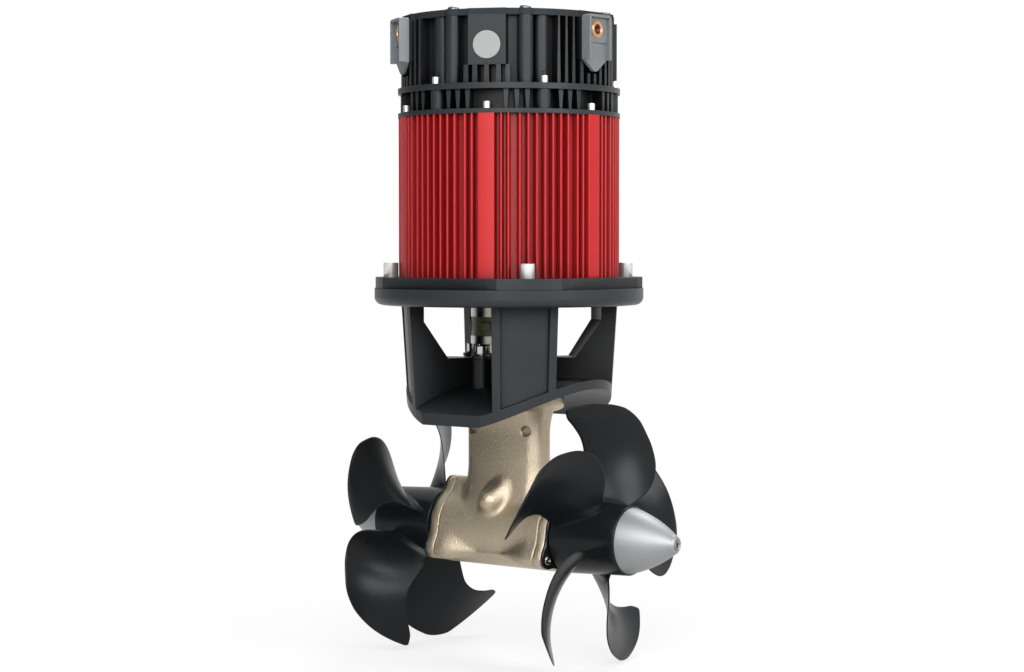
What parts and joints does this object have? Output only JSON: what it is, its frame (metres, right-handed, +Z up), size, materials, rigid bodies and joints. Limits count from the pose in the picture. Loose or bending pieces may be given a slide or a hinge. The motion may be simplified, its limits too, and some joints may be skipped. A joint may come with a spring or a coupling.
{
  "type": "electric tunnel thruster",
  "caption": "Electric tunnel thruster: finned motor with electronics head on a bracket, bronze gear leg below and a pair of counter-rotating propellers with anode cones.",
  "frame": {"origin": "where the motor's axis crosses the propellers' axis, the centre of the tunnel", "axes": "+X along the tunnel and the near propeller's shaft, +Z up the motor, -Y towards the leg's oil boss"},
  "size_m": [0.3612, 0.2428, 0.5779],
  "materials": {
    "black_paint": "satin black paint on cast aluminium",
    "red_paint": "red paint on extruded aluminium",
    "bronze": "cast bronze, blasted",
    "propeller_black": "satin black composite",
    "anode": "turned anode alloy, satin",
    "steel": "machined steel",
    "chrome": "bright plated fasteners",
    "grey_plastic": "grey moulded plastic",
    "disc_grey": "light grey foil",
    "insert_brass": "brass",
    "copper": "enamelled copper",
    "elastomer": "olive polyurethane",
    "seal_rubber": "black nitrile",
    "board_green": "glass-filled board",
    "magnet": "nickel plated magnet"
  },
  "bodies": {
    "housing": {"bracket": "black_paint", "leg_bolts": "chrome", "leg_bolt_washers": "steel", "leg_gasket": "seal_rubber", "gear_leg": "bronze", "leg_bearing_sleeve": "steel", "near_end_cap": "bronze", "far_end_cap": "bronze", "near_seal_plate": "propeller_black", "far_seal_plate": "propeller_black", "end_cap_screws": "steel", "near_propeller_bearing": "steel", "far_propeller_bearing": "steel", "near_shaft_seal": "seal_rubber", "far_shaft_seal": "seal_rubber", "lower_leg_bearing": "steel", "upper_leg_bearing": "steel", "input_shaft_seal": "seal_rubber", "motor_flange": "black_paint", "flange_screws": "chrome", "motor_frame": "red_paint", "stator_core": "steel", "stator_winding": "copper", "lower_motor_bearing": "steel", "upper_motor_bearing": "steel", "end_shield": "black_paint", "shield_screws": "chrome", "head_housing": "black_paint", "ring_screws": "chrome", "badge_disc": "disc_grey", "head_lid": "black_paint", "lid_screws": "grey_plastic", "positive_terminal_shroud": "grey_plastic", "negative_terminal_shroud": "grey_plastic", "positive_terminal_insert": "insert_brass", "negative_terminal_insert": "insert_brass", "drive_board": "board_green", "board_capacitors": "seal_rubber"},
    "drive_line": {"input_shaft": "steel", "bevel_pinion": "steel", "lower_coupling_hub": "steel", "coupling_spider": "elastomer", "upper_coupling_hub": "steel", "motor_shaft": "steel", "rotor_core": "steel", "rotor_magnets": "magnet"},
    "near_drive": {"near_bevel_gear": "steel", "near_propeller_shaft": "steel", "near_propeller": "propeller_black", "near_drive_pin": "steel", "near_anode_cone": "anode", "near_anode_screw": "chrome"},
    "far_drive": {"far_bevel_gear": "steel", "far_propeller_shaft": "steel", "far_propeller": "propeller_black", "far_drive_pin": "steel", "far_anode_cone": "anode", "far_anode_screw": "chrome"}
  },
  "joints": [
    {"name": "drive_line_spin", "type": "hinge", "parent": "housing", "child": "drive_line", "pos_m": [0, 0, 0], "axis": [0, 0, 1], "continuous": true},
    {"name": "near_propeller_spin", "type": "hinge", "parent": "housing", "child": "near_drive", "pos_m": [0, 0, 0], "axis": [1, 0, 0], "continuous": true},
    {"name": "far_propeller_spin", "type": "hinge", "parent": "housing", "child": "far_drive", "pos_m": [0, 0, 0], "axis": [1, 0, 0], "continuous": true}
  ],
  "couplings": [
    {"joint": "near_propeller_spin", "follows": "drive_line_spin", "ratio": -0.5},
    {"joint": "far_propeller_spin", "follows": "drive_line_spin", "ratio": 0.5}
  ]
}
